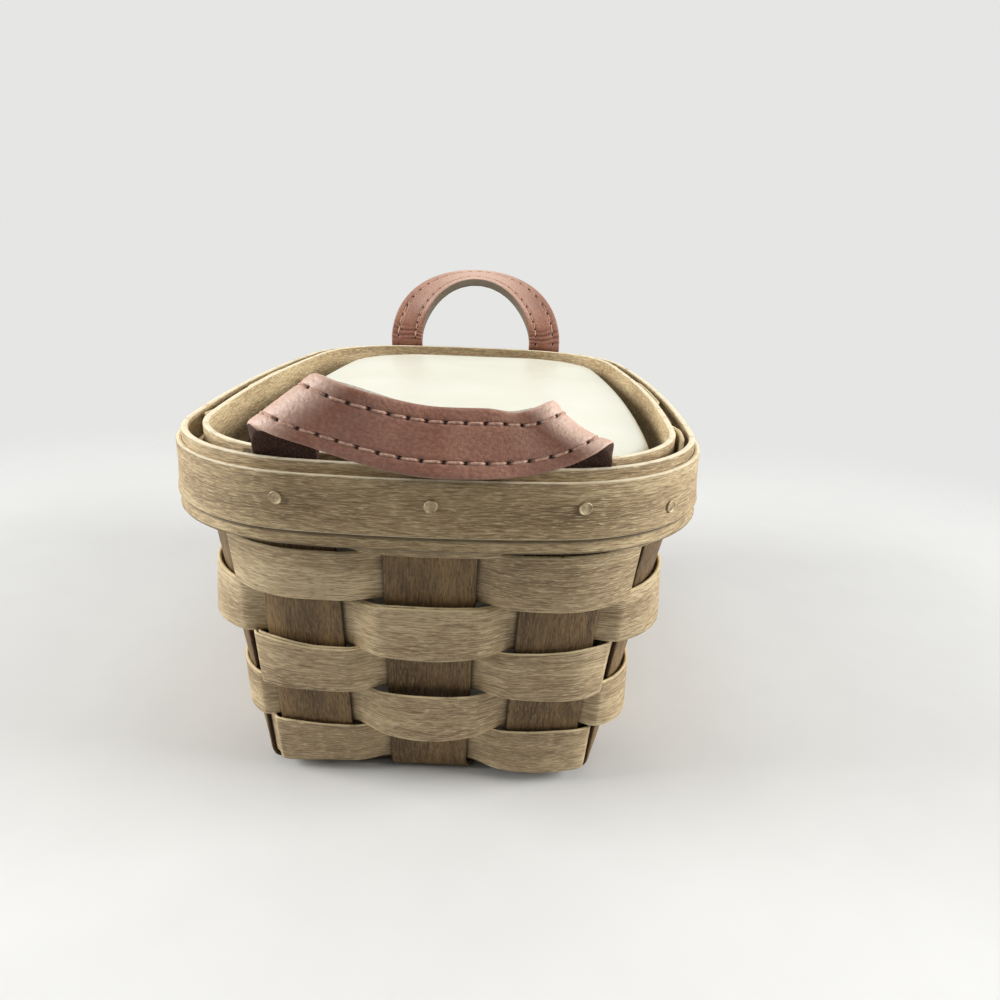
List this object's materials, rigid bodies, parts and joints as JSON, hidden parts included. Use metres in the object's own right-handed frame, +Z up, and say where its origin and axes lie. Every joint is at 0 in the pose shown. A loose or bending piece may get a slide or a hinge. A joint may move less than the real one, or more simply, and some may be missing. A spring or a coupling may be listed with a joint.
{
  "type": "lidded tea basket",
  "caption": "Small woven wood-splint basket with banded rim, two leather strap ears, a liner tub and a domed lift-off lid, for keeping tea or other small things.",
  "frame": {"origin": "middle of the base, on the surface that the basket stands on", "axes": "+Z up, +Y along the basket towards the ear that stands up, +X across it"},
  "size_m": [0.127, 0.1858, 0.1195],
  "materials": {
    "splint_wood": "stained, matte",
    "weaver_wood": "stained, matte",
    "band_wood": "stained, satin",
    "strap_leather": "fine grain",
    "tack_brass": "dull aged",
    "liner_plastic": "satin",
    "lid_plastic": "satin"
  },
  "bodies": {
    "basket": {"long_splint_1": "splint_wood", "long_splint_2": "splint_wood", "long_splint_3": "splint_wood", "cross_splint_1": "splint_wood", "cross_splint_2": "splint_wood", "cross_splint_3": "splint_wood", "cross_splint_4": "splint_wood", "cross_splint_5": "splint_wood", "weaver_row_1": "weaver_wood", "weaver_row_2": "weaver_wood", "weaver_row_3": "weaver_wood", "weaver_row_4": "weaver_wood", "weaver_row_5": "weaver_wood", "weaver_row_6": "weaver_wood", "outer_rim_band": "band_wood", "middle_rim_band": "band_wood", "inner_rim_band": "band_wood", "tack_1": "tack_brass", "tack_2": "tack_brass", "tack_3": "tack_brass", "tack_4": "tack_brass", "tack_5": "tack_brass", "tack_6": "tack_brass", "tack_7": "tack_brass", "tack_8": "tack_brass", "tack_9": "tack_brass", "tack_10": "tack_brass", "tack_11": "tack_brass", "tack_12": "tack_brass", "tack_13": "tack_brass", "tack_14": "tack_brass", "tack_15": "tack_brass", "tack_16": "tack_brass", "front_ear_left_end": "strap_leather", "front_ear_right_end": "strap_leather", "rear_ear_left_end": "strap_leather", "rear_ear_right_end": "strap_leather"},
    "liner": {"liner_tub": "liner_plastic"},
    "lid": {"lid": "lid_plastic"},
    "front_ear": {"front_ear_strap": "strap_leather"},
    "rear_ear": {"rear_ear_strap": "strap_leather"}
  },
  "joints": [
    {"name": "liner_lift", "type": "slide", "parent": "basket", "child": "liner", "axis": [0, 0, 1], "range_m": [0, 0.1]},
    {"name": "lid_lift", "type": "slide", "parent": "liner", "child": "lid", "axis": [0, 0, 1], "range_m": [0, 0.06]},
    {"name": "front_ear_swing", "type": "hinge", "parent": "basket", "child": "front_ear", "pos_m": [0, -0.08345, 0.091], "axis": [-1, 0, 0], "range_deg": [0, 40]},
    {"name": "rear_ear_swing", "type": "hinge", "parent": "basket", "child": "rear_ear", "pos_m": [0, 0.08345, 0.091], "axis": [-1, 0, 0], "range_deg": [0, 70]}
  ]
}
